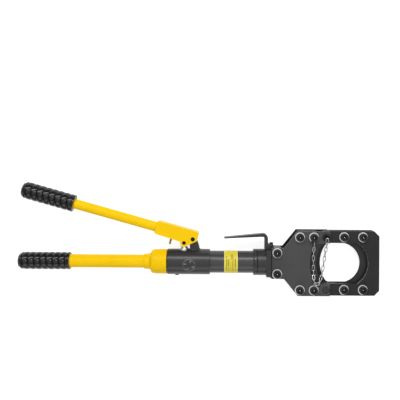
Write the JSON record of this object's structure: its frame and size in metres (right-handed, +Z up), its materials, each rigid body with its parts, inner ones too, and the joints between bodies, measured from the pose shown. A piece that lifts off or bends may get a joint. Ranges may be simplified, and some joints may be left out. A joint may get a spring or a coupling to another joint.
{
  "type": "hydraulic rescue cutter",
  "caption": "Hand-pumped hydraulic cutter with two handles, a twist release, a carry hook and a hinged cutting head closed by a chained latch pin.",
  "frame": {"origin": "centre of the head block flange's lower flat face, which the tool lies on", "axes": "+X along the tool from the handles to the cutting head, +Y towards the pump lever in the plane the lever swings in, +Z up, out of the front cheek"},
  "size_m": [0.8007, 0.2459, 0.0598],
  "materials": {
    "yellow_paint": "gloss enamel, warm yellow",
    "black_paint": "satin black",
    "nose_paint": "satin black, a little darker",
    "grip_rubber": "shiny moulded rubber, ribbed",
    "seal_rubber": "matt",
    "bright_steel": "bright zinc or ground steel",
    "blade_steel": "blackened tool steel, ground at the edge",
    "black_oxide": "black oxide",
    "bronze": "turned",
    "label_film": "printed film, lemon yellow"
  },
  "bodies": {
    "root": {"pump_body": "black_paint", "plunger_gland": "bright_steel", "suction_ball": "bright_steel", "delivery_ball": "bright_steel", "delivery_spring": "bright_steel", "relief_ball": "bright_steel", "relief_plug": "black_oxide", "fulcrum_lug": "black_paint", "cylinder_tube": "black_paint", "rating_label": "label_film", "lock_ring": "black_paint", "lock_ring_screw": "bright_steel", "head_block": "black_paint", "rod_bush": "bronze", "cheek_front": "black_paint", "cheek_back": "black_paint", "rail_upper": "black_paint", "rail_lower": "black_paint", "cheek_bolt_1": "black_oxide", "cheek_bolt_2": "black_oxide", "cheek_bolt_3": "black_oxide", "cheek_bolt_4": "black_oxide", "cheek_bolt_5": "black_oxide", "cheek_bolt_6": "black_oxide", "hinge_pin": "black_paint", "chain_tab": "bright_steel", "carry_hook": "black_paint", "hook_screw": "black_oxide", "return_spring": "bright_steel", "latch_chain": "bright_steel"},
    "handle": {"handle_collar": "yellow_paint", "handle_tube": "yellow_paint", "tube_end_plug": "seal_rubber", "oil_bladder": "seal_rubber", "handle_grip": "grip_rubber"},
    "release": {"release_pin": "bright_steel"},
    "piston": {"piston_rod": "bright_steel", "piston_seal": "seal_rubber", "blade_holder": "black_paint", "rod_pin": "bright_steel", "moving_blade": "blade_steel", "blade_screw_1": "black_oxide", "blade_screw_2": "black_oxide"},
    "nose": {"nose_frame": "nose_paint", "nose_plate_front": "nose_paint", "nose_plate_back": "nose_paint", "fixed_blade": "blade_steel", "nose_bolt_1": "black_oxide", "nose_bolt_2": "black_oxide", "nose_bolt_3": "black_oxide", "nose_bolt_4": "black_oxide"},
    "latch": {"latch_pin": "black_paint"},
    "lever": {"handle_socket": "yellow_paint", "stop_stud": "bright_steel", "pump_tube": "yellow_paint", "pump_grip": "grip_rubber", "fulcrum_pin": "black_oxide", "plunger_pin": "black_oxide"},
    "plunger": {"pump_plunger": "bright_steel"}
  },
  "joints": [
    {"name": "pump_lever", "type": "hinge", "parent": "root", "child": "lever", "pos_m": [-0.167, 0.0511, 0.029], "axis": [0, 0, 1], "range_deg": [-30, 11]},
    {"name": "plunger_slide", "type": "slide", "parent": "root", "child": "plunger", "axis": [0, 1, 0], "range_m": [-0.004, 0.0106]},
    {"name": "piston_slide", "type": "slide", "parent": "root", "child": "piston", "axis": [1, 0, 0], "range_m": [0, 0.09], "stiffness_N_per_m": 800, "springref_m": -0.03, "deforming": ["return_spring"]},
    {"name": "nose_hinge", "type": "hinge", "parent": "root", "child": "nose", "pos_m": [0.1268, -0.058, 0.029], "axis": [0, 0, -1], "range_deg": [0, 105]},
    {"name": "latch_pull", "type": "slide", "parent": "root", "child": "latch", "axis": [0, 0, 1], "range_m": [0, 0.045]},
    {"name": "handle_twist", "type": "hinge", "parent": "root", "child": "handle", "pos_m": [-0.24, 0, 0.029], "axis": [1, 0, 0], "range_deg": [0, 60]},
    {"name": "release_slide", "type": "slide", "parent": "root", "child": "release", "axis": [1, 0, 0], "range_m": [0, 0.0021]}
  ],
  "couplings": [
    {"joint": "plunger_slide", "follows": "pump_lever", "m_per_rad": -0.0199},
    {"joint": "release_slide", "follows": "handle_twist", "m_per_rad": 0.0019}
  ]
}
